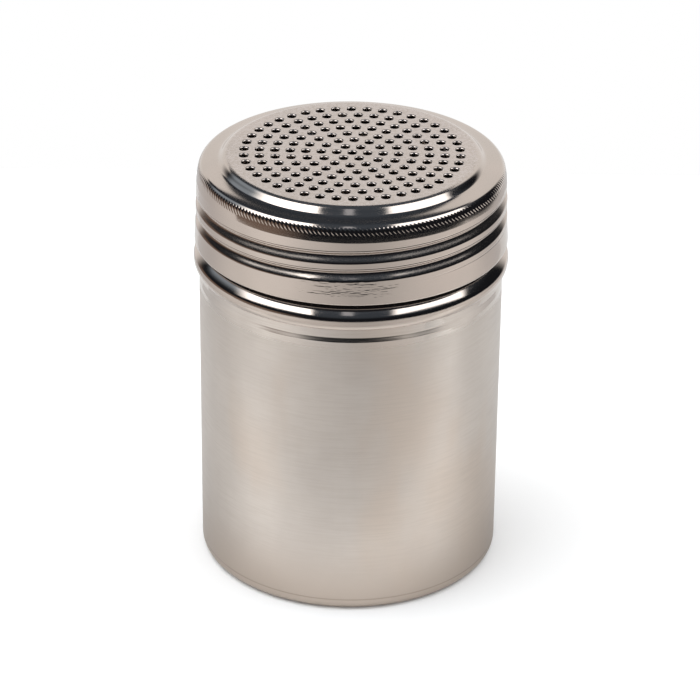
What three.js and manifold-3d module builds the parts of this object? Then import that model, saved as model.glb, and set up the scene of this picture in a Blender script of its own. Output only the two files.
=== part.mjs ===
// Sugar dredger: a deep-drawn steel canister, a perforated screw lid and the sealing ring between them.
// Millimetres, +Z up, origin on the axis at the level the canister stands on.
// The side seen in the reference view is -Y.

import * as THREE from 'three';
import { mergeVertices } from 'three/addons/utils/BufferGeometryUtils.js';
import Module from 'manifold-3d';

const wasm = await Module();
wasm.setup();

// Segments round the axis
const ROUND = 48;

// Sheet thickness of both steel pieces
const SHEET = 0.5;

// Canister: the body with a faint step below its top, its base panel, and the neck above the shoulder
const BODY_R = 33.8;
const RIM_Z = 93.2;
const BASE_PANEL_Z = 0.9;
const BASE_PANEL_INSET = 4.8;
const FOOT_INSET = 3.2;
const BASE_CORNER_R = 1.5;
const NECK_INSET = 1.35;
const NECK_HEIGHT = 19.6;
const SHOULDER_HEIGHT = 2.4;
const WALL_STEP_INSET = 0.18;
const WALL_STEP_BELOW_SHOULDER = 2.2;
const WALL_STEP_HEIGHT = 1.9;
const BASE_PANEL_R = BODY_R - BASE_PANEL_INSET;
const FOOT_INNER_R = BODY_R - FOOT_INSET;
const NECK_R = BODY_R - NECK_INSET;
const SHOULDER_HIGH_Z = RIM_Z - NECK_HEIGHT;
const SHOULDER_LOW_Z = SHOULDER_HIGH_Z - SHOULDER_HEIGHT;
const TOP_WALL_R = BODY_R - WALL_STEP_INSET;
const WALL_STEP_HIGH_Z = SHOULDER_LOW_Z - WALL_STEP_BELOW_SHOULDER;
const WALL_STEP_LOW_Z = WALL_STEP_HIGH_Z - WALL_STEP_HEIGHT;

// Screw thread, right-handed: the lid's rolled groove and the ridge on the neck, which rides above it.
// The lead and the forms are lengths; where they start, end and fade is given in turns from the front.
const THREAD_LEAD = 4.2;
const GROOVE_BELOW_RIM = 8.97;
const GROOVE_DEPTH = 0.95;
const GROOVE_RISE_ABOVE = 0.9;
const GROOVE_RISE_BELOW = 1.95;
const RIDGE_OFFSET = 1.6;
const RIDGE_HEIGHT = 0.65;
const RIDGE_HALF_WIDTH = 1.3;
const THREAD_ROW_HEIGHT = 0.84;
const GROOVE_TURNS = [-0.37, 1.37];
const RIDGE_TURNS = [-0.2, 1.05];
const FADE_TURNS = 0.1;
const GROOVE_FRONT_Z = RIM_Z - GROOVE_BELOW_RIM;
const RIDGE_FRONT_Z = GROOVE_FRONT_Z + RIDGE_OFFSET;

// Lid wall: it stands off the neck by the thread, and flares a little towards the bead
const NECK_TO_WALL = 1.72;
const WALL_FLARE = 0.35;
const SKIRT_FLARE = 0.25;
const WALL_TOP_BELOW_RIM = 1.8;
const LID_BELOW_SHOULDER = 0.3;
const SKIRT_TOP_HEIGHT = 11.1;
const SKIRT_LOW_HEIGHT = 6.6;
const WALL_TOP_R = NECK_R + NECK_TO_WALL;
const SKIRT_TOP_R = WALL_TOP_R + WALL_FLARE;
const SKIRT_LOW_R = SKIRT_TOP_R + SKIRT_FLARE;
const WALL_TOP_Z = RIM_Z - WALL_TOP_BELOW_RIM;
const LID_LOW_Z = SHOULDER_LOW_Z - LID_BELOW_SHOULDER;
const SKIRT_TOP_Z = LID_LOW_Z + SKIRT_TOP_HEIGHT;
const SKIRT_LOW_Z = LID_LOW_Z + SKIRT_LOW_HEIGHT;

// Lid edge: a crease under the skirt, then a rolled bead that ends close to the canister's wall
const CREASE_HEIGHT = 4.65;
const CREASE_INSET = 1.12;
const BEAD_OVER_BODY = 1.2;
const BEAD_HEIGHT = 2.0;
const EDGE_INSET = 0.8;
const CREASE_R = SKIRT_LOW_R - CREASE_INSET;
const CREASE_Z = LID_LOW_Z + CREASE_HEIGHT;
const BEAD_R = BODY_R + BEAD_OVER_BODY;
const BEAD_MID_Z = LID_LOW_Z + BEAD_HEIGHT;
const LID_LOW_R = BEAD_R - EDGE_INSET;

// Lid top: a raised sieve plate, a sloping step round it and a rounded shoulder
const PLATE_ABOVE_RIM = 3.8;
const PLATE_INSET = 7.12;
const STEP_RUN = 2.25;
const STEP_DROP = 1.38;
const PLATE_R = WALL_TOP_R - PLATE_INSET;
const PLATE_Z = RIM_Z + PLATE_ABOVE_RIM;
const STEP_LOW_R = PLATE_R + STEP_RUN;
const STEP_LOW_Z = PLATE_Z - STEP_DROP;

// Perforation: one centre hole and seven rings, six more holes in each ring than in the one before
const HOLE_RINGS = 7;
const HOLE_PITCH = 3.4;
const HOLE_R = 0.95;
const HOLE_SIDES = 6;
const HOLES_TURNED = THREE.MathUtils.degToRad(-3.6);

// Sealing ring, between the rim and the underside of the lid
const SEAL_INSET = 0.45;
const SEAL_WIDTH = 1.4;
const SEAL_ABOVE_RIM = 0.3;
const SEAL_THICKNESS = 0.75;
const SEAL_OUTER_R = NECK_R - SEAL_INSET;
const SEAL_INNER_R = SEAL_OUTER_R - SEAL_WIDTH;
const SEAL_LOW_Z = RIM_Z + SEAL_ABOVE_RIM;
const SEAL_HIGH_Z = SEAL_LOW_Z + SEAL_THICKNESS;

// Curved parts of the profiles, as shares of the way from one corner to the next: [share of r, share of z]
const STEP_FORM = [[0.46, 0.25], [0.72, 0.64]];
const TOP_SHOULDER_FORM = [[0.16, 0.06], [0.62, 0.13], [0.75, 0.18], [0.85, 0.29], [0.92, 0.46]];
const CREASE_FORM = [[0.08, 0.23], [0.24, 0.35]];
const BEAD_TOP_FORM = [[0.7, 0.55], [0.95, 0.83]];
const BEAD_LOW_FORM = [[0.1875, 0.65]];
const FOOT_FORM = [[0.6875, 0.3889]];

function material(color, roughness, metalness) {
  return new THREE.MeshStandardMaterial({ color, roughness, metalness });
}

// A profile of [radius, height] points, turned round the Z axis.
function lathe(points, segments) {
  const profile = points.map(([r, z]) => new THREE.Vector2(r, z));
  const geometry = new THREE.LatheGeometry(profile, segments);
  geometry.rotateX(Math.PI / 2);
  geometry.deleteAttribute('normal');
  geometry.deleteAttribute('uv');
  return mergeVertices(geometry, 1e-4);
}

// The other side of a sheet, found by moving each point of its outer side along the local normal.
function otherSide(points, thickness) {
  return points.map(([r, z], i) => {
    const before = points[Math.max(i - 1, 0)];
    const after = points[Math.min(i + 1, points.length - 1)];
    const dr = after[0] - before[0];
    const dz = after[1] - before[1];
    const length = Math.hypot(dr, dz);
    if (r === 0) {
      return [0, z - thickness];
    }
    return [r + (dz / length) * thickness, z - (dr / length) * thickness];
  });
}

// Points on the way from one corner to another.
function along(from, to, form) {
  return form.map(([r, z]) => [from[0] + (to[0] - from[0]) * r, from[1] + (to[1] - from[1]) * z]);
}

// Rows of points at even heights between two ends, for the part of a wall that carries the thread.
function rows(from, to, step) {
  const count = Math.ceil(Math.abs(from[1] - to[1]) / step);
  const out = [];
  for (let i = 0; i <= count; i += 1) {
    const k = i / count;
    out.push([from[0] + (to[0] - from[0]) * k, from[1] + (to[1] - from[1]) * k]);
  }
  return out;
}

// Height of a thread form at one point of a wall: 1 on its crest, 0 away from it.
function threadForm(turn, z, frontZ, [start, end], above, below) {
  let form = 0;
  for (let n = -1; n <= 2; n += 1) {
    const s = turn + n;
    const fade = Math.min((s - start) / FADE_TURNS, (end - s) / FADE_TURNS, 1);
    if (fade > 0) {
      const dz = z - (frontZ + THREAD_LEAD * s);
      const width = dz > 0 ? above : below;
      const k = Math.min(Math.abs(dz) / width, 1);
      form = Math.max(form, fade * 0.5 * (1 + Math.cos(Math.PI * k)));
    }
  }
  return form;
}

// Moves the wall in or out along a helix. The front, -Y, is turn 0 and turns grow anticlockwise.
function rollThread(geometry, lowZ, highZ, depth, form) {
  const position = geometry.getAttribute('position');
  for (let i = 0; i < position.count; i += 1) {
    const x = position.getX(i);
    const y = position.getY(i);
    const z = position.getZ(i);
    const r = Math.hypot(x, y);
    if (z > lowZ && z < highZ && r > BODY_R / 2) {
      const turn = Math.atan2(x, -y) / (2 * Math.PI);
      const k = (r + depth * form(turn, z)) / r;
      position.setX(i, x * k);
      position.setY(i, y * k);
    }
  }
  position.needsUpdate = true;
}

function toManifold(geometry) {
  const mesh = new wasm.Mesh({
    numProp: 3,
    vertProperties: new Float32Array(geometry.getAttribute('position').array),
    triVerts: new Uint32Array(geometry.getIndex().array),
  });
  mesh.merge();
  return new wasm.Manifold(mesh);
}

function fromManifold(manifold) {
  const mesh = manifold.getMesh();
  const geometry = new THREE.BufferGeometry();
  geometry.setAttribute('position', new THREE.BufferAttribute(mesh.vertProperties, 3));
  geometry.setIndex(new THREE.BufferAttribute(mesh.triVerts, 1));
  return geometry;
}

function named(name, geometry, surface) {
  const shown = geometry.toNonIndexed();
  shown.computeVertexNormals();
  const mesh = new THREE.Mesh(shown, surface);
  mesh.name = name;
  return mesh;
}

// Canister: outer side from the middle of the base, up the wall, over the rim and down the inside.
function canisterGeometry() {
  const panelEdge = [BASE_PANEL_R, BASE_PANEL_Z];
  const foot = [FOOT_INNER_R, 0];
  const outside = [[0, BASE_PANEL_Z], panelEdge, ...along(panelEdge, foot, FOOT_FORM), foot];
  const cornerR = BODY_R - BASE_CORNER_R;
  const cornerSteps = 4;
  for (let i = 0; i <= cornerSteps; i += 1) {
    const a = (Math.PI / 2) * (i / cornerSteps);
    outside.push([cornerR + BASE_CORNER_R * Math.sin(a), BASE_CORNER_R * (1 - Math.cos(a))]);
  }
  outside.push([BODY_R, WALL_STEP_LOW_Z], [TOP_WALL_R, WALL_STEP_HIGH_Z]);
  const shoulderSteps = 4;
  for (let i = 0; i <= shoulderSteps; i += 1) {
    const k = i / shoulderSteps;
    const r = NECK_R + (TOP_WALL_R - NECK_R) * 0.5 * (1 + Math.cos(Math.PI * k));
    outside.push([r, SHOULDER_LOW_Z + (SHOULDER_HIGH_Z - SHOULDER_LOW_Z) * k]);
  }
  const threadLow = RIDGE_FRONT_Z + THREAD_LEAD * RIDGE_TURNS[0] - RIDGE_HALF_WIDTH;
  outside.push(...rows([NECK_R, threadLow], [NECK_R, RIM_Z], THREAD_ROW_HEIGHT));
  // The base panel and the foot are one thickness of sheet; the inside is the outside moved inwards.
  const inside = otherSide(outside, -SHEET).map(([r, z]) => [Math.max(r, 0), z]);
  inside[0] = [0, BASE_PANEL_Z + SHEET];
  inside[1] = [BASE_PANEL_R, BASE_PANEL_Z + SHEET];
  const last = inside.length - 1;
  inside[last] = [NECK_R - SHEET, RIM_Z];
  const geometry = lathe([...outside, ...inside.reverse()], ROUND);
  const form = (turn, z) => threadForm(
    turn, z, RIDGE_FRONT_Z, RIDGE_TURNS, RIDGE_HALF_WIDTH, RIDGE_HALF_WIDTH,
  );
  rollThread(geometry, SHOULDER_HIGH_Z, RIM_Z - SHEET / 5, RIDGE_HEIGHT, form);
  return geometry;
}

// Lid: outer side from the middle of the plate, over the step and shoulder, down the skirt and bead.
function lidGeometry() {
  const plateEdge = [PLATE_R, PLATE_Z];
  const stepLow = [STEP_LOW_R, STEP_LOW_Z];
  const wallTop = [WALL_TOP_R, WALL_TOP_Z];
  const skirtTop = [SKIRT_TOP_R, SKIRT_TOP_Z];
  const skirtLow = [SKIRT_LOW_R, SKIRT_LOW_Z];
  const crease = [CREASE_R, CREASE_Z];
  const bead = [BEAD_R, BEAD_MID_Z];
  const low = [LID_LOW_R, LID_LOW_Z];
  const outside = [
    [0, PLATE_Z],
    plateEdge, ...along(plateEdge, stepLow, STEP_FORM),
    stepLow, ...along(stepLow, wallTop, TOP_SHOULDER_FORM),
    ...rows(wallTop, skirtTop, THREAD_ROW_HEIGHT),
    skirtLow, ...along(skirtLow, crease, CREASE_FORM),
    crease, ...along(crease, bead, BEAD_TOP_FORM),
    bead, ...along(bead, low, BEAD_LOW_FORM),
    low,
  ];
  const inside = otherSide(outside, SHEET);
  const geometry = lathe([...outside, ...inside.reverse()].reverse(), ROUND);
  const form = (turn, z) => threadForm(
    turn, z, GROOVE_FRONT_Z, GROOVE_TURNS, GROOVE_RISE_ABOVE, GROOVE_RISE_BELOW,
  );
  rollThread(geometry, SKIRT_TOP_Z - SHEET * 3, WALL_TOP_Z + SHEET / 5, -GROOVE_DEPTH, form);

  const holes = [];
  for (let ring = 0; ring <= HOLE_RINGS; ring += 1) {
    const count = Math.max(6 * ring, 1);
    for (let i = 0; i < count; i += 1) {
      const a = HOLES_TURNED + (2 * Math.PI * i) / count;
      const hole = new THREE.CylinderGeometry(HOLE_R, HOLE_R, SHEET * 4, HOLE_SIDES);
      hole.rotateX(Math.PI / 2);
      hole.translate(ring * HOLE_PITCH * Math.cos(a), ring * HOLE_PITCH * Math.sin(a), PLATE_Z - SHEET / 2);
      hole.deleteAttribute('normal');
      hole.deleteAttribute('uv');
      holes.push(toManifold(mergeVertices(hole, 1e-4)));
    }
  }
  return fromManifold(toManifold(geometry).subtract(wasm.Manifold.union(holes)));
}

function sealGeometry() {
  return lathe([
    [SEAL_INNER_R, SEAL_LOW_Z],
    [SEAL_OUTER_R, SEAL_LOW_Z],
    [SEAL_OUTER_R, SEAL_HIGH_Z],
    [SEAL_INNER_R, SEAL_HIGH_Z],
    [SEAL_INNER_R, SEAL_LOW_Z],
  ], ROUND);
}

const dredger = new THREE.Group();
dredger.name = 'sugar_dredger';
dredger.add(named('canister', canisterGeometry(), material(0xb9b3ac, 0.38, 1.0)));
dredger.add(named('seal_ring', sealGeometry(), material(0xd8d6d0, 0.7, 0.0)));
dredger.add(named('perforated_lid', lidGeometry(), material(0xbdb6b0, 0.24, 1.0)));

export default dredger;
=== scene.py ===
# A sheet-steel sugar dredger on a white studio floor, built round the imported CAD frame.
# Lengths are in millimetres, and MM turns them into Blender's metres.

import math

import bpy
from mathutils import Matrix, Vector
from mathutils.geometry import delaunay_2d_cdt


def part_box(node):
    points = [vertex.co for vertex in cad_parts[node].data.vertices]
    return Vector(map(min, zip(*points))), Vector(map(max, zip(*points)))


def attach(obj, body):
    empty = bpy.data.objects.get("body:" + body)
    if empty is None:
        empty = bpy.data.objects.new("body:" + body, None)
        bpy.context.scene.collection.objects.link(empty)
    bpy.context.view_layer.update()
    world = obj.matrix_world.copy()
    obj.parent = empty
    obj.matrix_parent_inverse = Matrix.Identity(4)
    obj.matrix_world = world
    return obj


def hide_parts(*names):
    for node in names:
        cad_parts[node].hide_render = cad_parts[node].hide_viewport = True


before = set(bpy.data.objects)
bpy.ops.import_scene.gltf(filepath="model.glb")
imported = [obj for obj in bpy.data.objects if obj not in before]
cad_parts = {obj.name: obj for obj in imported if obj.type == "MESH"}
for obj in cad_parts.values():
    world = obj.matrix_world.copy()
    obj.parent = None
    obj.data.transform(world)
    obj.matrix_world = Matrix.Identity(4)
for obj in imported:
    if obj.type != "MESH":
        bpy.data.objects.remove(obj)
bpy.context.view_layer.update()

MM = 0.001
TAU = 2 * math.pi


def outer_size(node):
    """Radius and top of a round CAD node, to a hundredth of a millimetre."""
    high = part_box(node)[1]
    return round(high.x / MM, 2), round(high.z / MM, 2)


# Driving sizes: the first four come from the frame
BODY_R, RIM_Z = outer_size("canister")
BEAD_R, PLATE_Z = outer_size("perforated_lid")
SHEET = 0.5

# Fineness of the meshes
ROUND = 288
CURVE_STEP = 0.12
ARC_STEP = math.radians(7)
WALL_ROW = 6.0
NECK_ROW = 3.0
RIDGE_ROW = 0.16
GROOVE_ROW = 0.075
SHOULDER_ROWS = 24

# Canister: the base's flat panel and the rounded foot, as (radius, height, fillet) corners
BASE_PANEL_Z = 0.9
BASE_FLAT_R = 27.0
BASE_RINGS = (20.0, 12.0, 5.0)
FOOT_TOP_Z = 4.0
FOOT_CORNERS = (
    (BASE_FLAT_R, BASE_PANEL_Z, 0),
    (28.9, BASE_PANEL_Z, 0.8),
    (30.2, 0.0, 0.6),
    (BODY_R, 0.0, 2.0),
    (BODY_R, FOOT_TOP_Z, 0),
)

# Canister: the shoulder under the neck, and the faint step in the wall as (radius, height, tilt) knots
NECK_R = BODY_R - 1.35
TOP_WALL_R = BODY_R - 0.21
SHOULDER_HIGH_Z = RIM_Z - 19.6
SHOULDER_LOW_Z = SHOULDER_HIGH_Z - 2.4
STEP_Z = SHOULDER_LOW_Z - 3.1
STEP_LOW_Z = STEP_Z - 1.5
STEP_TILT = 81.0
STEP_BEND = 0.022
STEP_KNOTS = (
    (TOP_WALL_R, SHOULDER_LOW_Z, 90),
    (TOP_WALL_R, STEP_Z + 0.8, 90),
    (TOP_WALL_R + STEP_BEND, STEP_Z + 0.54, STEP_TILT),
    (BODY_R - STEP_BEND, STEP_Z - 0.53, STEP_TILT),
    (BODY_R, STEP_Z - 0.79, 90),
    (BODY_R, STEP_LOW_Z, 90),
)

# Canister: the neck, where the rows get finer for the thread, and its rounded rim as (inset, drop) points
THREADED_NECK_Z = 83.0
RIM_CURVE_Z = RIM_Z - 0.2
RIM_CURVE = ((0.06, 0.06), (0.18, 0.0))

# Lid: the outside as (radius, height) points and (radius, height, tilt) knots, downwards
PIERCED_R = 25.2
WALL_TOP = (34.2, 91.1)
WALL_MIDDLE = (34.38, 87.2)
WALL_LOW = (34.52, 82.0)
CREASE = (33.36, 75.37)
TOP_KNOTS = (
    (PIERCED_R, PLATE_Z, 0), (27.15, PLATE_Z, 0),
    (28.16, 96.66, 34), (28.72, 96.14, 46), (29.32, 95.62, 34),
    (30.1, 95.38, 10), (31.2, 95.22, 7), (32.3, 95.07, 9),
    (32.95, 94.87, 33), (33.43, 94.40, 53), (33.76, 93.7, 77), (34.16, 91.5, 81),
    (*WALL_TOP, 87.5),
)
SKIRT_KNOTS = (
    (*WALL_LOW, 88.5), (34.77, 77.5, 88),
    (34.68, 77.05, 122), (34.50, 76.81, 128), (*CREASE, 128),
)
BEAD_KNOTS = (
    (*CREASE, 40), (34.60, 74.09, 51), (34.93, 73.35, 81),
    (BEAD_R, 72.7, 90), (34.93, 72.0, 100), (34.74, 71.45, 115), (34.40, 70.98, 150),
    (34.05, 70.92, 190), (33.85, 71.1, 235),
)

# Lid: the holes, each with a flat lip, a drawn-in curve and a small burr under the sheet
HOLE_RINGS = 7
HOLE_PITCH = 3.4
HOLES_TURNED = math.radians(-3.6)
HOLE_SIDES = 20
HOLE_CURVE_STEPS = 6
MOUTH_R = 1.38
LIP_WIDTH = 0.04
DRAW_WIDTH = 0.40
DRAW_DEPTH = 0.34
THROAT_R = MOUTH_R - LIP_WIDTH - DRAW_WIDTH
BURR_DEPTH = 0.06
BURR_CURL = (0.07, 0.07)
BURR_FOOT = 0.1
SAME_POINT = 1e-7

# Thread: turn 0 is the front, and turns go anticlockwise seen from above
LEAD = 4.2
FADE_TURNS = 0.1
SHALLOWER_PER_TURN = 0.07
GROOVE_FRONT_Z = RIM_Z - 8.97
GROOVE_TURNS = (-0.37, 1.37)
GROOVE_SPAN = (79.5, 91.9)
GROOVE_DEPTH = 0.96
GROOVE_ABOVE = 0.9
GROOVE_BELOW = 1.95
RIDGE_FRONT_Z = GROOVE_FRONT_Z + 1.6
RIDGE_TURNS = (-0.2, 1.05)
RIDGE_SPAN = (82.0, 93.0)
RIDGE_HEIGHT = 0.65
RIDGE_HALF_WIDTH = 1.3


# Profiles

def filleted(corners):
    """A line through (radius, height, fillet) corners, each turned into an arc of that fillet radius."""
    nearly_straight = 0.01
    longest_share = 0.98
    out = [corners[0][:2]]
    for before, corner, after in zip(corners, corners[1:], corners[2:]):
        a, c, b = (Vector(point[:2]) for point in (before, corner, after))
        radius = corner[2]
        u, v = (a - c).normalized(), (b - c).normalized()
        half = u.angle(v) / 2
        if radius <= 0 or half > math.pi / 2 - nearly_straight:
            out.append(tuple(c))
            continue
        reach = radius / math.tan(half)
        limit = min((a - c).length, (b - c).length) * longest_share
        if reach > limit:
            radius *= limit / reach
            reach = limit
        mid = c + (u + v).normalized() * (radius / math.sin(half))
        start, end = c + u * reach, c + v * reach
        first = math.atan2(*(start - mid).yx)
        turn = (math.atan2(*(end - mid).yx) - first + math.pi) % TAU - math.pi
        count = max(2, math.ceil(abs(turn) / ARC_STEP))
        out += [(mid.x + radius * math.cos(first + turn * k / count),
                 mid.y + radius * math.sin(first + turn * k / count)) for k in range(count + 1)]
    out.append(corners[-1][:2])
    return out


def through(knots):
    """A smooth line through (radius, height, tilt) knots; tilt is how far the normal leans out from up."""
    out = [knots[0][:2]]
    for (r0, z0, tilt0), (r1, z1, tilt1) in zip(knots, knots[1:]):
        chord = math.dist((r0, z0), (r1, z1))
        pull = chord / math.cos(math.radians(tilt1 - tilt0) / 4) ** 2
        a = (math.cos(math.radians(tilt0)) * pull, -math.sin(math.radians(tilt0)) * pull)
        b = (math.cos(math.radians(tilt1)) * pull, -math.sin(math.radians(tilt1)) * pull)
        count = max(1, math.ceil(chord / CURVE_STEP))
        for k in range(1, count + 1):
            u = k / count
            h0, h1 = 2 * u ** 3 - 3 * u ** 2 + 1, 3 * u ** 2 - 2 * u ** 3
            g0, g1 = u ** 3 - 2 * u ** 2 + u, u ** 3 - u ** 2
            out.append((h0 * r0 + h1 * r1 + g0 * a[0] + g1 * b[0],
                        h0 * z0 + h1 * z1 + g0 * a[1] + g1 * b[1]))
    return out


def spaced(points, longest):
    """The same line with long stretches cut up."""
    out = [points[0]]
    for a, b in zip(points, points[1:]):
        n = max(1, math.ceil(math.dist(a, b) / longest))
        out += [(a[0] + (b[0] - a[0]) * k / n, a[1] + (b[1] - a[1]) * k / n) for k in range(1, n + 1)]
    return out


def offset(points, thickness):
    """The line moved along its local normal, to the right of its run when thickness is positive."""
    out = []
    for i, (r, z) in enumerate(points):
        a, b = points[max(i - 1, 0)], points[min(i + 1, len(points) - 1)]
        dr, dz = b[0] - a[0], b[1] - a[1]
        length = math.hypot(dr, dz) or 1.0
        out.append((max(r + dz / length * thickness, 0.0), z - dr / length * thickness))
    return out


# Threads

def smooth(x):
    """Rises smoothly from 0 to 1 as x goes from 0 to 1."""
    x = min(max(x, 0.0), 1.0)
    return x * x * (3 - 2 * x)


def half_wave(distance, width):
    """1 at the middle of a rolled form, falling to 0 at its edge."""
    return 0.5 * (1 + math.cos(math.pi * min(distance / width, 1)))


def groove_form(u):
    """The lid's rolled groove: a short upper flank and a long lower one."""
    return -GROOVE_DEPTH * half_wave(abs(u), GROOVE_ABOVE if u > 0 else GROOVE_BELOW)


def ridge_form(u):
    """The neck's rolled ridge."""
    return RIDGE_HEIGHT * half_wave(abs(u), RIDGE_HALF_WIDTH)


def along_helix(turn, z, front_z, ends, form):
    """Sum of a thread form over the turns of its helix, which fades out at its two ends."""
    start, end = ends
    total = 0.0
    for n in range(-1, 3):
        s = turn + n
        level = min((s - start) / FADE_TURNS, (end - s) / FADE_TURNS)
        if level > 0:
            total += smooth(level) * (1 - SHALLOWER_PER_TURN * s) * form(z - (front_z + LEAD * s))
    return total


def lid_wall(turn, z):
    """How far the lid's wall is pushed out or in at a point."""
    if not GROOVE_SPAN[0] < z < GROOVE_SPAN[1]:
        return 0.0
    return along_helix(turn, z, GROOVE_FRONT_Z, GROOVE_TURNS, groove_form)


def neck_wall(turn, z):
    """How far the canister's neck is pushed out at a point."""
    if not RIDGE_SPAN[0] < z < RIDGE_SPAN[1]:
        return 0.0
    return along_helix(turn, z, RIDGE_FRONT_Z, RIDGE_TURNS, ridge_form)


# Meshes

def ring_points(r, z, push=None):
    """Points round the axis, from the front anticlockwise, moved by a thread where push is given."""
    out = []
    for k in range(ROUND):
        turn = k / ROUND
        angle = TAU * turn - math.pi / 2
        reach = r
        if push is not None:
            reach += push(turn if turn <= 0.5 else turn - 1, z)
        out.append((reach * math.cos(angle), reach * math.sin(angle), z))
    return out


def hole_points(x, y, r, z):
    """Points round a hole with its centre at x, y."""
    return [(x + r * math.cos(TAU * k / HOLE_SIDES), y + r * math.sin(TAU * k / HOLE_SIDES), z)
            for k in range(HOLE_SIDES)]


class Builder:
    """Collects points in millimetres and faces, and makes one Blender object of them."""

    def __init__(self):
        self.points = []
        self.faces = []

    def ring(self, points):
        """Adds points and returns their numbers."""
        start = len(self.points)
        self.points += points
        return list(range(start, start + len(points)))

    def bridge(self, low, high):
        """Faces between two rings with as many points."""
        n = len(low)
        for k in range(n):
            j = (k + 1) % n
            self.faces.append((low[j], low[k], high[k], high[j]))

    def fan(self, ring, centre):
        """Faces from a ring to its centre."""
        self.points.append(centre)
        c = len(self.points) - 1
        n = len(ring)
        for k in range(n):
            self.faces.append((ring[(k + 1) % n], ring[k], c))

    def revolve(self, profile, push):
        """Turns a profile into a surface round the axis and returns its rings."""
        rings = [self.ring(ring_points(r, z, push)) for r, z in profile]
        for a, b in zip(rings, rings[1:]):
            self.bridge(a, b)
        return rings

    def make(self, name):
        mesh = bpy.data.meshes.new(name)
        mesh.from_pydata([tuple(v * MM for v in p) for p in self.points], [], self.faces)
        mesh.validate()
        mesh.update()
        for poly in mesh.polygons:
            poly.use_smooth = True
        obj = bpy.data.objects.new(name, mesh)
        bpy.context.scene.collection.objects.link(obj)
        return obj


def hole_centres():
    """A centre hole, and rings of six, twelve, eighteen and so on round it."""
    out = [(0.0, 0.0)]
    for ring in range(1, HOLE_RINGS + 1):
        for k in range(6 * ring):
            a = HOLES_TURNED + TAU * k / (6 * ring)
            out.append((ring * HOLE_PITCH * math.cos(a), ring * HOLE_PITCH * math.sin(a)))
    return out


def loop_edges(start, count):
    """Edges round a closed loop of points that are numbered from start."""
    return [(start + k, start + (k + 1) % count) for k in range(count)]


def pierced_plate(build, outer, mouth, z, up):
    """Fills the flat disc inside a ring, leaving round holes, and returns the ring of each hole."""
    points = [Vector(build.points[i][:2]) for i in outer]
    outline = len(points)
    edges = loop_edges(0, outline)
    rings = []
    for x, y in hole_centres():
        start = len(points)
        rings.append(range(start, start + HOLE_SIDES))
        points += [Vector(point[:2]) for point in hole_points(x, y, mouth, z)]
        edges += loop_edges(start, HOLE_SIDES)
    flat, _, faces, origin, _, _ = delaunay_2d_cdt(points, edges, [], 0, SAME_POINT)
    index = []
    hole = [None] * len(flat)
    place = {}
    for i, sources in enumerate(origin):
        if sources and sources[0] < outline:
            index.append(outer[sources[0]])
        else:
            build.points.append((flat[i].x, flat[i].y, z))
            index.append(len(build.points) - 1)
        for source in sources:
            place[source] = index[i]
            if source >= outline:
                hole[i] = (source - outline) // HOLE_SIDES
    for face in faces:
        # a face whose corners all lie on one hole fills that hole, and is left out
        corners = {hole[i] for i in face}
        if len(corners) == 1 and None not in corners:
            continue
        loop = [index[i] for i in face]
        a, b, c = (Vector(build.points[i]) for i in loop[:3])
        if ((b - a).cross(c - a).z > 0) != up:
            loop.reverse()
        build.faces.append(tuple(loop))
    return [[place[k] for k in ring] for ring in rings]


def pierce(build, upper_edge, lower_edge):
    """The plate's outer and inner face, and the drawn-in wall of each hole between them."""
    upper = pierced_plate(build, upper_edge, MOUTH_R, PLATE_Z, True)
    lower = pierced_plate(build, lower_edge, THROAT_R + BURR_FOOT, PLATE_Z - SHEET, False)
    levels = [(MOUTH_R - LIP_WIDTH, 0.0)]
    for k in range(1, HOLE_CURVE_STEPS + 1):
        t = math.radians(90 * k / HOLE_CURVE_STEPS)
        levels.append((MOUTH_R - LIP_WIDTH - DRAW_WIDTH * math.sin(t), DRAW_DEPTH * (1 - math.cos(t))))
    levels.append((THROAT_R, SHEET + BURR_DEPTH))
    levels.append((THROAT_R + BURR_CURL[0], SHEET + BURR_CURL[1]))
    for (x, y), high, low in zip(hole_centres(), upper, lower):
        before = high
        for r, depth in levels:
            ring = build.ring(hole_points(x, y, r, PLATE_Z - depth))
            build.bridge(ring, before)
            before = ring
        build.bridge(low, before)


def make_lid():
    build = Builder()
    wall = spaced((WALL_TOP, WALL_MIDDLE, WALL_LOW), GROOVE_ROW)
    outside = through(TOP_KNOTS) + wall[1:] + through(SKIRT_KNOTS)[1:] + through(BEAD_KNOTS)[1:]
    inside = offset(outside, SHEET)
    inside[0] = (PIERCED_R, PLATE_Z - SHEET)
    outer = build.revolve(outside, lid_wall)
    inner = build.revolve(inside[::-1], lid_wall)
    build.bridge(outer[-1], inner[0])
    pierce(build, outer[0], inner[-1])
    return build.make("dredger_lid")


def canister_profile():
    """The canister's outside and inside lines, from the base's flat panel up to the rim."""
    low_wall = spaced(((BODY_R, FOOT_TOP_Z), (BODY_R, STEP_LOW_Z)), WALL_ROW)
    shoulder = []
    for k in range(1, SHOULDER_ROWS + 1):
        t = k / SHOULDER_ROWS
        shoulder.append((NECK_R + (TOP_WALL_R - NECK_R) * half_wave(t, 1),
                         SHOULDER_LOW_Z + (SHOULDER_HIGH_Z - SHOULDER_LOW_Z) * t))
    plain_neck = spaced(((NECK_R, SHOULDER_HIGH_Z), (NECK_R, THREADED_NECK_Z)), NECK_ROW)
    threaded_neck = spaced(((NECK_R, THREADED_NECK_Z), (NECK_R, RIM_CURVE_Z)), RIDGE_ROW)
    outside = filleted(FOOT_CORNERS) + low_wall[1:] + through(STEP_KNOTS)[::-1][1:]
    outside += shoulder + plain_neck[1:] + threaded_neck[1:]
    inside = offset(outside, -SHEET)
    inside[0] = (BASE_FLAT_R, BASE_PANEL_Z + SHEET)
    outside += [(NECK_R - inset, RIM_Z - drop) for inset, drop in RIM_CURVE]
    inside += [(NECK_R - SHEET + inset, RIM_Z - drop) for inset, drop in RIM_CURVE]
    return outside, inside


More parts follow.
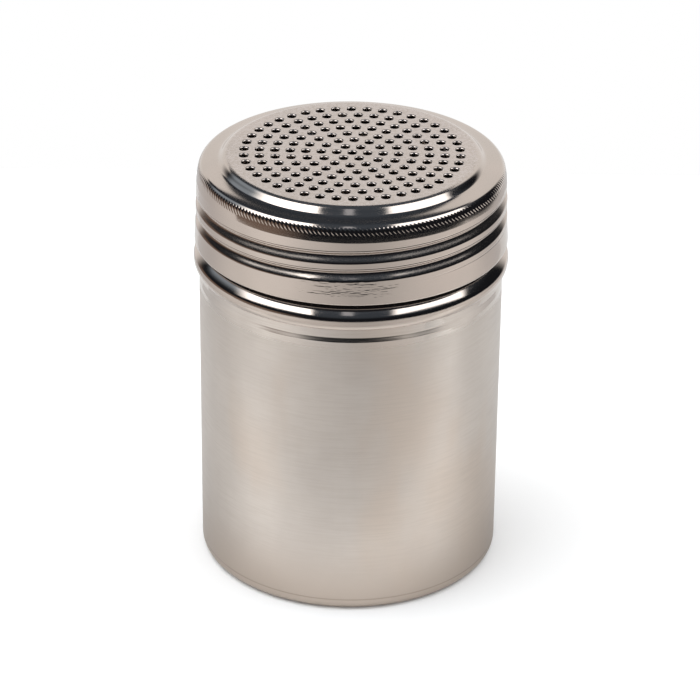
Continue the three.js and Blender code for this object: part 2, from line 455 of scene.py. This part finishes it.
def make_canister():
    build = Builder()
    outside, inside = canister_profile()
    outer = build.revolve(outside[::-1], neck_wall)
    inner = build.revolve(inside, neck_wall)
    build.bridge(inner[-1], outer[0])
    under = [outer[-1]] + [build.ring(ring_points(r, BASE_PANEL_Z)) for r in BASE_RINGS]
    over = [inner[0]] + [build.ring(ring_points(r, BASE_PANEL_Z + SHEET)) for r in BASE_RINGS]
    for a, b in zip(under, under[1:]):
        build.bridge(a, b)
    build.fan(under[-1], (0, 0, BASE_PANEL_Z))
    for a, b in zip(over, over[1:]):
        build.bridge(b, a)
    build.fan(over[-1][::-1], (0, 0, BASE_PANEL_Z + SHEET))
    return build.make("dredger_canister")


lid = make_lid()
canister = make_canister()
for piece, body, node, slot in ((lid, "lid", "perforated_lid", "lid_steel"),
                                (canister, "body", "canister", "canister_steel")):
    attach(piece, body)
    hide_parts(node)


# Materials

def grey(level):
    return (level, level, level)


class Nodes:
    """Short way to write a node tree. A value is a number, a socket or a (red, green, blue) colour."""

    def __init__(self, tree):
        self.tree = tree
        tree.nodes.clear()

    def put(self, socket, value):
        if isinstance(value, bpy.types.NodeSocket):
            self.tree.links.new(value, socket)
        elif socket.type == "RGBA":
            socket.default_value = (*value, 1)
        else:
            socket.default_value = value

    def add(self, kind, inputs=None, **settings):
        node = self.tree.nodes.new(kind)
        for key, value in settings.items():
            setattr(node, key, value)
        for key, value in (inputs or {}).items():
            self.put(node.inputs[key], value)
        return node

    def math(self, operation, a, b=0.0):
        return self.add("ShaderNodeMath", {0: a, 1: b}, operation=operation).outputs[0]

    def plus(self, a, b):
        return self.math("ADD", a, b)

    def minus(self, a, b):
        return self.math("SUBTRACT", a, b)

    def times(self, a, b):
        return self.math("MULTIPLY", a, b)

    def largest(self, first, *others):
        for other in others:
            first = self.math("MAXIMUM", first, other)
        return first

    def absolute(self, value):
        return self.math("ABSOLUTE", value)

    def hypot(self, a, b):
        return self.math("SQRT", self.plus(self.times(a, a), self.times(b, b)))

    def ramp(self, value, low, high, out_low=0.0, out_high=1.0):
        """Goes smoothly from out_low to out_high as the value goes from low to high."""
        # sockets 0 to 4 are the value, the range it comes from and the range it goes to
        node = self.add("ShaderNodeMapRange", {0: value, 1: low, 2: high, 3: out_low, 4: out_high},
                        interpolation_type="SMOOTHSTEP")
        return node.outputs[0]

    def band(self, value, low, full, fading, high):
        """1 from full to fading, and 0 below low and above high."""
        return self.times(self.ramp(value, low, full), self.ramp(value, high, fading))

    def peak(self, value, middle, width):
        """1 at the middle, falling to 0 at this width to either side."""
        return self.ramp(self.absolute(self.minus(value, middle)), width, 0.0)

    def noise(self, vector, scale, detail=3.0, rough=0.55):
        """Clouds; the scale is how many there are in a metre."""
        node = self.add("ShaderNodeTexNoise", {"Vector": vector, "Scale": scale, "Detail": detail,
                                               "Roughness": rough})
        return node.outputs["Fac"]

    def bump(self, height, distance, normal=None, strength=1.0):
        """Relief of this many millimetres for each unit of height."""
        inputs = {"Strength": strength, "Distance": abs(distance) * MM, "Height": height}
        if normal is not None:
            inputs["Normal"] = normal
        return self.add("ShaderNodeBump", inputs, invert=distance < 0).outputs[0]

    def scaled(self, vector, x, y, z):
        return self.add("ShaderNodeVectorMath", {0: vector, 1: (x, y, z)}, operation="MULTIPLY").outputs[0]

    def dot(self, vector, other):
        node = self.add("ShaderNodeVectorMath", {0: vector, 1: other}, operation="DOT_PRODUCT")
        return node.outputs["Value"]

    def mix(self, share, a, b):
        """Colour a where the share is 0, and colour b where it is 1."""
        # the node's sockets 6, 7 and 2 are its two colours and its result
        node = self.add("ShaderNodeMix", {0: share, 6: a, 7: b}, data_type="RGBA")
        return node.outputs[2]

    def place(self):
        """The point on the object, in metres."""
        return self.add("ShaderNodeTexCoord").outputs["Object"]

    def in_mm(self, place):
        """The x, y and z of a point, in millimetres."""
        return self.add("ShaderNodeSeparateXYZ", {0: self.scaled(place, 1 / MM, 1 / MM, 1 / MM)}).outputs

    def principled(self, inputs):
        shader = self.add("ShaderNodeBsdfPrincipled", inputs)
        self.add("ShaderNodeOutputMaterial", {0: shader.outputs[0]})


def new_material(name):
    material = bpy.data.materials.new(name)
    material.use_nodes = True
    return material, Nodes(material.node_tree)


# Finishes. Two numbers are a ramp's low and high, four are its low, high, out_low and out_high, a band is
# low, full, fading and high, and three numbers are a colour or how finely a noise is cut along x, y and z.

STREAK_ROUGHNESS = (0.3, 0.7, -0.01, 0.02)

LID_CLOUDS = (0.35, 0.7)
LID_TINTS = ((0.515, 0.446, 0.393), (0.545, 0.466, 0.410))
LID_STREAKS = (60, 60, 2600)
PLATE_SPECKS = (0.35, 0.65)
PLATE_SPECK_TINT = (0.64, 0.565, 0.527)
PLATE_SPECK_SHARE = 0.75
PLATE_EDGE = (28.5, 27.0)
PLATE_FLAT = (PLATE_Z - 0.15, PLATE_Z - 0.03)
LID_ROUGHNESS = 0.095
PLATE_ROUGHNESS = 0.22
THREAD_BAND = (81.2, 82.2, 90, 91)
FLANK_BELOW_GROOVE = 0.9
FLANK_EDGE = (1.0, 0.5)
FLANK_ROUGHNESS = (0.07, 0.11)
UPPER_TURN = (0.4 * LEAD, 0.6 * LEAD)
ROLLED_LINE = {"middle": 1.2, "width": 0.17}
ROLLED_LINE_DEPTH = 0.03
CHATTER_BAND = (92.7, 93.4, 94.3, 94.7)
CHATTER_COUNT = 225
CHATTER_SLANT = 4.66
CHATTER_HEIGHT = 0.020
SCUFFS = (200, 200, 1500)
SCUFF_BAND = (77.6, 79.5, 82.2, 83.6)
SCUFF_SIDES = (0.5, 0.1)
SCUFF_HEIGHT = 0.15
GRAIN_SHARES = (0.12, 0.85)
GRAIN_HEIGHT = 0.016


def thread_marks(n, angle, z):
    """Extra roughness on the groove's lower flank, and the fine line rolled in above the groove."""
    climbed = n.minus(n.minus(z, GROOVE_FRONT_Z), n.times(angle, LEAD / TAU))
    from_groove = n.minus(n.math("FLOORED_MODULO", n.plus(climbed, LEAD / 2), LEAD), LEAD / 2)
    threaded = n.band(z, *THREAD_BAND)
    flank = n.ramp(n.absolute(n.plus(from_groove, FLANK_BELOW_GROOVE)), *FLANK_EDGE)
    dulled = n.ramp(climbed, *UPPER_TURN, *FLANK_ROUGHNESS)
    line = n.peak(from_groove, **ROLLED_LINE)
    return n.times(n.times(flank, threaded), dulled), n.times(line, threaded)


def steel_lid():
    material, n = new_material("lid_steel")
    place = n.place()
    x, y, z = n.in_mm(place)
    angle = n.math("ARCTAN2", x, n.times(y, -1.0))
    plate = n.ramp(n.hypot(x, y), *PLATE_EDGE)
    flank, line = thread_marks(n, angle, z)
    # colour: slow clouds, and fine salt and pepper on the plate
    cloud = n.ramp(n.noise(place, scale=60), *LID_CLOUDS)
    speck = n.times(n.ramp(n.noise(place, scale=1400, detail=2), *PLATE_SPECKS), plate)
    tint = n.mix(n.times(speck, PLATE_SPECK_SHARE), n.mix(cloud, *LID_TINTS), PLATE_SPECK_TINT)
    # roughness: satin on the plate, semi-bright elsewhere with fine streaks round the axis
    streak = n.noise(n.scaled(place, *LID_STREAKS), scale=1.0, detail=2)
    rough = n.plus(n.ramp(plate, 0, 1, LID_ROUGHNESS, PLATE_ROUGHNESS), n.ramp(streak, *STREAK_ROUGHNESS))
    rough = n.plus(rough, flank)
    # chatter marks of the spinning tool round the shoulder, which lean with the height
    wave = n.math("SINE", n.plus(n.times(angle, CHATTER_COUNT), n.times(z, CHATTER_SLANT)))
    normal = n.bump(n.times(wave, n.band(z, *CHATTER_BAND)), CHATTER_HEIGHT)
    normal = n.bump(line, -ROLLED_LINE_DEPTH, normal)
    # handling scuffs on the front of the skirt, and the grain of the sheet
    scuff = n.noise(n.scaled(place, *SCUFFS), scale=1.0, detail=2, rough=0.6)
    where = n.times(n.ramp(n.absolute(angle), *SCUFF_SIDES), n.band(z, *SCUFF_BAND))
    normal = n.bump(n.times(scuff, where), SCUFF_HEIGHT, normal)
    flat = n.times(plate, n.ramp(z, *PLATE_FLAT))
    grain = n.times(n.noise(place, scale=2600, detail=2), n.ramp(flat, 0, 1, *GRAIN_SHARES))
    normal = n.bump(grain, GRAIN_HEIGHT, normal)
    n.principled({"Base Color": tint, "Metallic": 1.0, "Roughness": rough, "Normal": normal})
    return material


CANISTER_CLOUDS = (0.3, 0.7)
CANISTER_CLOUD_STRETCH = (1, 1, 0.6)
CANISTER_TINTS = ((0.565, 0.510, 0.462), (0.62, 0.562, 0.508))
STAIN_STRETCH = (1, 1, 0.45)
STAIN_TINT = (0.585, 0.480, 0.395)
STAIN_SHARE = (0.48, 0.68, 0, 0.55)
# painted shade: the foot darkens towards the floor, where it mirrors the floor's shade
FOOT_SHADE_TINT = (0.46, 0.385, 0.325)
FOOT_SHADE_SHARE = (20, 1, 0, 0.85)
CANISTER_STREAKS = (130, 130, 3000)
STREAK_TINT = (0.50, 0.435, 0.38)
STREAK_SHARE = (0.35, 0.75, 0, 0.3)
# painted shade in the fine line round the foot
RING_LINE_SHADE_TINT = (0.27, 0.21, 0.17)
RING_LINE_SHADE_SHARE = 0.5
RING_LINE = {"middle": 2.7, "width": 0.28}
RING_LINE_DEPTH = 0.02
SATIN_ROUGHNESS = 0.30
BRIGHT_ROUGHNESS = 0.055
BRIGHT_FROM = (65.6, 67.2)
BRUSHED = 0.55
BRUSH_HEIGHT = 0.005
BRIGHT_BRUSH_SHARE = 0.2


def steel_canister():
    material, n = new_material("canister_steel")
    place = n.place()
    z = n.in_mm(place)[2]
    # colour: slow clouds, warm stains, painted shade that darkens and browns the foot towards the floor,
    # and horizontal streaks
    cloud = n.noise(n.scaled(place, *CANISTER_CLOUD_STRETCH), scale=55, detail=4, rough=0.6)
    tint = n.mix(n.ramp(cloud, *CANISTER_CLOUDS), *CANISTER_TINTS)
    stain = n.noise(n.scaled(place, *STAIN_STRETCH), scale=42, detail=3, rough=0.5)
    tint = n.mix(n.ramp(stain, *STAIN_SHARE), tint, STAIN_TINT)
    # painted shade, darker and browner towards the floor
    tint = n.mix(n.ramp(z, *FOOT_SHADE_SHARE), tint, FOOT_SHADE_TINT)
    streak = n.noise(n.scaled(place, *CANISTER_STREAKS), scale=1.0, detail=2)
    tint = n.mix(n.ramp(streak, *STREAK_SHARE), tint, STREAK_TINT)
    # a brushed satin wall, and a bright stretch from the step upwards
    satin = n.ramp(z, *BRIGHT_FROM, SATIN_ROUGHNESS, BRIGHT_ROUGHNESS)
    rough = n.plus(satin, n.ramp(streak, *STREAK_ROUGHNESS))
    normal = n.bump(n.times(streak, n.ramp(z, *BRIGHT_FROM, 1.0, BRIGHT_BRUSH_SHARE)), BRUSH_HEIGHT)
    tangent = n.add("ShaderNodeTangent", direction_type="RADIAL", axis="Z").outputs[0]
    # the fine line turned round the foot: a small groove, with painted shade darkening it
    ring_line_and_shade = n.peak(z, **RING_LINE)
    # painted shade in the small groove of the line
    tint = n.mix(n.times(ring_line_and_shade, RING_LINE_SHADE_SHARE), tint, RING_LINE_SHADE_TINT)
    normal = n.bump(ring_line_and_shade, -RING_LINE_DEPTH, normal)
    n.principled({"Base Color": tint, "Metallic": 1.0, "Roughness": rough, "Anisotropic": BRUSHED,
                  "Tangent": tangent, "Normal": normal})
    return material


SEAL_TINTS = ((0.70, 0.69, 0.66), (0.78, 0.77, 0.74))
SEAL_ROUGHNESS = 0.55
SEAL_RELIEF = 0.1
SEAL_RELIEF_STRENGTH = 0.1


def seal_rubber():
    material, n = new_material("seal_silicone")
    place = n.place()
    tint = n.mix(n.noise(place, scale=400), *SEAL_TINTS)
    normal = n.bump(n.noise(place, scale=3000, detail=2), SEAL_RELIEF, strength=SEAL_RELIEF_STRENGTH)
    n.principled({"Base Color": tint, "Roughness": SEAL_ROUGHNESS, "Normal": normal})
    return material


lid.data.materials.append(steel_lid())
canister.data.materials.append(steel_canister())
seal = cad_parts["seal_ring"]
seal.data.materials.clear()
seal.data.materials.append(seal_rubber())


# Studio floor

FLOOR_X = (-120, 150)
FLOOR_Y = (-100, 200)
FLOOR_WHITE = 0.95
FLOOR_LIFT = 0.06
# painted shade on the floor, seen only in reflections: darker towards the front and towards the back
FRONT_REFLECTED_SHADE = (-35, -100, 0, 0.38)
BACK_REFLECTED_SHADE = (-45, 0, 0, 0.34)


def make_floor():
    corners = ((FLOOR_X[0], FLOOR_Y[0]), (FLOOR_X[1], FLOOR_Y[0]),
               (FLOOR_X[1], FLOOR_Y[1]), (FLOOR_X[0], FLOOR_Y[1]))
    mesh = bpy.data.meshes.new("floor")
    mesh.from_pydata([(x * MM, y * MM, 0) for x, y in corners], [], [tuple(range(len(corners)))])
    obj = bpy.data.objects.new("floor", mesh)
    bpy.context.scene.collection.objects.link(obj)
    material, n = new_material("floor_white")
    path = n.add("ShaderNodeLightPath").outputs
    seen = n.largest(path["Is Glossy Ray"], path["Is Transmission Ray"], path["Is Camera Ray"])
    # painted shade seen only in reflections: for glossy rays the floor is darker towards the front and the
    # back
    y = n.in_mm(n.place())[1]
    reflected_shade = n.times(n.largest(n.ramp(y, *FRONT_REFLECTED_SHADE), n.ramp(y, *BACK_REFLECTED_SHADE)), path["Is Glossy Ray"])
    diffuse = n.add("ShaderNodeBsdfDiffuse", {"Color": n.mix(reflected_shade, grey(FLOOR_WHITE), grey(0))})
    glow = n.add("ShaderNodeEmission", {"Color": grey(1), "Strength": n.times(seen, FLOOR_LIFT)})
    both = n.add("ShaderNodeAddShader", {0: diffuse.outputs[0], 1: glow.outputs[0]})
    n.add("ShaderNodeOutputMaterial", {0: both.outputs[0]})
    mesh.materials.append(material)


make_floor()


# Studio light. Directions are unit vectors: across to the right, along to the back, and up

LOOK = Vector((0, 0.906, -0.423))

# Softboxes, each with its corners as (azimuth, tilt) of the surface that mirrors them, and edge softness
LEFT_SOFTBOX = ((-14, 33), (-14, 52.5), (-42, 52.5), (-42, 33))
LEFT_SOFTNESS = (0.03, 0.03, 0.16, 0.03)
LEFT_LIGHT = (3.4, 3.5, 3.6)
RIGHT_SOFTBOX = ((16, 33), (16, 52), (46, 52), (46, 33))
RIGHT_SOFTNESS = (0.05, 0.03, 0.05, 0.03)
RIGHT_LIGHT = (2.6, 2.7, 2.8)
LAMP = ((-3, 36), (-3, 50), (1, 50), (1, 36))
LAMP_SOFTNESS = (0.012,) * 4
LAMP_LIGHT = (0.55, 0.6, 0.68)
SIDE_PANEL = ((-37, 31), (-37, 50), (-66, 48), (-66, 31))
SIDE_PANEL_SOFTNESS = (0.1,) * 4
SIDE_PANEL_LIGHT = (0.36, 0.44, 0.53)

# The white backdrop: its sides and top edge in degrees, and how much the top rises to the right
BACKDROP_SIDES = (48, 34)
BACKDROP_TOP = (36, 34.5)
BACKDROP_SLOPE = 0.28

# The tabletop beyond the floor: its far edge, where that is lower or higher, and its brightness
TABLE_EDGE = (-0.18, -0.20)
LOWER_AT_RIGHT = (0, 0.2, 0, 0.14)
LOWER_AT_SIDES = (0.6, 0.95, 0, 0.03)
HIGHER_AT_LEFT = (-0.5, -0.8, 0, 0.04)
HIGHER_FROM = (-0.02, 0.02)
TABLE_FRONT = grey(0.98)
TABLE_BACK = (0.71, 0.71, 0.72)
TABLE_DEPTH = (0.0, 0.6)
BRIGHT_CORNER = grey(1.1)
BRIGHT_CORNER_ACROSS = (-0.35, -0.75)
BRIGHT_CORNER_ALONG = (0.0, -0.4)
TABLE_NEAR = (0.66, 0.66, 0.665)
NEAR_ACROSS = (0.12, 0.95)
NEAR_ALONG = (0.1, -0.4)

# The dark studio above the tabletop, its ceiling, and a warm patch low on the left
STUDIO_DARK = (0.012, 0.014, 0.018)
CEILING = (0.070, 0.090, 0.118)
CEILING_HEIGHT = (0.35, 0.95)
WARM_PATCH = (0.24, 0.18, 0.15)
WARM_PATCH_HEIGHT = (0.22, 0.05)
WARM_PATCH_ACROSS = (-0.45, -0.9)

# The light that falls on the object: a dome that is brighter above, and a soft key from the upper left
DOME_LOW = grey(0.25)
DOME_HIGH = grey(1.15)
DOME_HEIGHT = (0.0, 0.9)
KEY_LIGHT = grey(3.1)
KEY_FROM = Vector((-0.38, -0.03, 0.93)).normalized()
KEY_EDGE = (26, 14)


def cosine(degrees):
    return math.cos(math.radians(degrees))


def sine(degrees):
    return math.sin(math.radians(degrees))


def mirrored(azimuth, tilt):
    """Where a look straight at the object goes from a surface whose normal has this azimuth and tilt."""
    normal = Vector((sine(azimuth) * sine(tilt), -cosine(azimuth) * sine(tilt), cosine(tilt)))
    return (LOOK - 2 * LOOK.dot(normal) * normal).normalized()


def panel_mask(n, way, outline, softness):
    """Mask of the directions inside a convex outline, with the softness of each of its edges."""
    corners = [mirrored(*corner) for corner in outline]
    middle = sum(corners, Vector())
    mask = 1.0
    for a, b, width in zip(corners, corners[1:] + corners[:1], softness):
        edge = a.cross(b).normalized()
        if edge.dot(middle) < 0:
            edge = -edge
        mask = n.times(mask, n.ramp(n.dot(way, edge), -width, width))
    return mask


def backdrop_mask(n, across, along, up):
    """Where the backdrop is: behind, and below its top edge."""
    above_zero = 0.001
    back = n.math("DIVIDE", along, n.largest(n.hypot(across, along), above_zero))
    behind = n.ramp(back, *(cosine(angle) for angle in BACKDROP_SIDES))
    height = n.minus(up, n.times(across, BACKDROP_SLOPE))
    return n.times(behind, n.ramp(height, *(sine(angle) for angle in BACKDROP_TOP)))


def table_mask(n, across, along, up):
    """Where the tabletop is: below its far edge."""
    lower = n.times(n.largest(along, 0.0), n.ramp(across, *LOWER_AT_RIGHT))
    lower = n.plus(lower, n.ramp(n.absolute(across), *LOWER_AT_SIDES))
    higher = n.times(n.ramp(across, *HIGHER_AT_LEFT), n.ramp(along, *HIGHER_FROM))
    return n.ramp(n.plus(up, n.minus(lower, higher)), *TABLE_EDGE)


def table_colour(n, across, along):
    """The tabletop's brightness: duller behind and straight in front, brighter at the left in front."""
    colour = n.mix(n.ramp(along, *TABLE_DEPTH), TABLE_FRONT, TABLE_BACK)
    corner = n.times(n.ramp(across, *BRIGHT_CORNER_ACROSS), n.ramp(along, *BRIGHT_CORNER_ALONG))
    colour = n.mix(corner, colour, BRIGHT_CORNER)
    near = n.times(n.peak(across, *NEAR_ACROSS), n.ramp(along, *NEAR_ALONG))
    return n.mix(near, colour, TABLE_NEAR)


def reflected(n, way, across, along, up):
    """What polished steel mirrors in each direction."""
    colour = n.mix(n.ramp(up, *CEILING_HEIGHT), STUDIO_DARK, CEILING)
    warm = n.times(n.ramp(up, *WARM_PATCH_HEIGHT), n.ramp(across, *WARM_PATCH_ACROSS))
    colour = n.mix(warm, colour, WARM_PATCH)
    colour = n.mix(panel_mask(n, way, SIDE_PANEL, SIDE_PANEL_SOFTNESS), colour, SIDE_PANEL_LIGHT)
    colour = n.mix(panel_mask(n, way, LAMP, LAMP_SOFTNESS), colour, LAMP_LIGHT)
    colour = n.mix(backdrop_mask(n, across, along, up), colour, grey(1))
    colour = n.mix(table_mask(n, across, along, up), colour, table_colour(n, across, along))
    colour = n.mix(panel_mask(n, way, LEFT_SOFTBOX, LEFT_SOFTNESS), colour, LEFT_LIGHT)
    return n.mix(panel_mask(n, way, RIGHT_SOFTBOX, RIGHT_SOFTNESS), colour, RIGHT_LIGHT)


def fill_light(n, way, up):
    """The light that reaches matt surfaces from each direction."""
    dome = n.mix(n.ramp(up, *DOME_HEIGHT), DOME_LOW, DOME_HIGH)
    key = n.ramp(n.dot(way, KEY_FROM), *(cosine(angle) for angle in KEY_EDGE))
    return n.mix(key, dome, KEY_LIGHT)


def make_world():
    world = bpy.data.worlds.new("studio")
    bpy.context.scene.world = world
    world.use_nodes = True
    n = Nodes(world.node_tree)
    way = n.add("ShaderNodeTexCoord").outputs["Generated"]
    across, along, up = n.add("ShaderNodeSeparateXYZ", {0: way}).outputs
    path = n.add("ShaderNodeLightPath").outputs
    light = n.mix(path["Is Diffuse Ray"], reflected(n, way, across, along, up), fill_light(n, way, up))
    white = n.largest(path["Is Camera Ray"], path["Is Transmission Ray"])
    background = n.add("ShaderNodeBackground", {"Color": n.mix(white, light, grey(1)), "Strength": 1.0})
    n.add("ShaderNodeOutputWorld", {0: background.outputs[0]})


make_world()


# Camera

CAMERA_PLACE = (0.0, -642.2, 387.5)
CAMERA_PITCH = math.radians(27.86)
CAMERA_ROLL = math.radians(0.6)
CAMERA_LENS = 165.16
CAMERA_SENSOR = 36.0
CAMERA_CLIP = (10, 20000)


def make_camera():
    data = bpy.data.cameras.new("camera")
    data.lens = CAMERA_LENS
    data.sensor_width = CAMERA_SENSOR
    data.clip_start = CAMERA_CLIP[0] * MM
    data.clip_end = CAMERA_CLIP[1] * MM
    obj = bpy.data.objects.new("camera", data)
    bpy.context.scene.collection.objects.link(obj)
    obj.location = [value * MM for value in CAMERA_PLACE]
    look = Matrix.Rotation(math.pi / 2 - CAMERA_PITCH, 3, "X") @ Matrix.Rotation(CAMERA_ROLL, 3, "Z")
    obj.rotation_euler = look.to_euler()
    bpy.context.scene.camera = obj


make_camera()
bpy.context.scene.view_settings.view_transform = "Standard"
